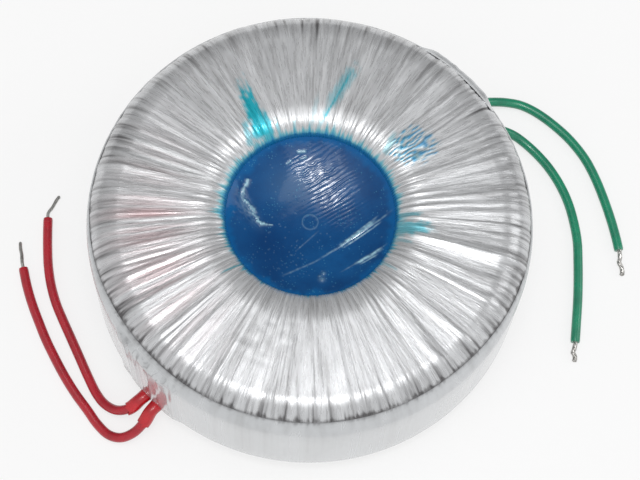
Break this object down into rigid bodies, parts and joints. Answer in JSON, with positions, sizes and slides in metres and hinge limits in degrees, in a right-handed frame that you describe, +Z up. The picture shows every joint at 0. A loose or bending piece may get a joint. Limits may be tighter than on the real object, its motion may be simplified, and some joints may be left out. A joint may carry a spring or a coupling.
{
  "type": "toroidal transformer",
  "caption": "Toroidal transformer wrapped in pleated clear film, with a blue resin-filled centre, a threaded fixing insert and four flexible leads with bare tinned ends.",
  "frame": {"origin": "on the ring's axis, at the mouth of the threaded insert in the flat underside of the resin, which is the plane that the transformer rests on", "axes": "+Z up along the ring's axis, away from the insert's mouth; the red leads leave towards -X -Y and the green leads towards +X +Y"},
  "size_m": [0.1729, 0.12, 0.045],
  "materials": {
    "core_steel": "bare",
    "tape": "satin",
    "enamelled_wire": "gloss",
    "clear_film": "gloss",
    "blue_resin": "gloss",
    "insert_brass": "turned",
    "red_sleeve": "satin",
    "green_sleeve": "satin",
    "red_pvc": "satin",
    "green_pvc": "satin",
    "tinned_wire": "tinned"
  },
  "bodies": {
    "root": {"core": "core_steel", "core_tape": "tape", "primary_winding": "enamelled_wire", "middle_tape": "tape", "secondary_winding": "enamelled_wire", "film_wrap": "clear_film", "film_band": "clear_film", "red_exit_patch": "clear_film", "green_exit_patch": "clear_film", "resin_centre": "blue_resin", "threaded_insert": "insert_brass", "red_sleeve_1": "red_sleeve", "red_sleeve_2": "red_sleeve", "green_sleeve_1": "green_sleeve", "green_sleeve_2": "green_sleeve", "red_lead_1": "red_pvc", "red_lead_2": "red_pvc", "green_lead_1": "green_pvc", "green_lead_2": "green_pvc", "red_bare_end_1": "tinned_wire", "red_bare_end_2": "tinned_wire", "green_bare_end_1": "tinned_wire", "green_bare_end_2": "tinned_wire"}
  },
  "joints": []
}
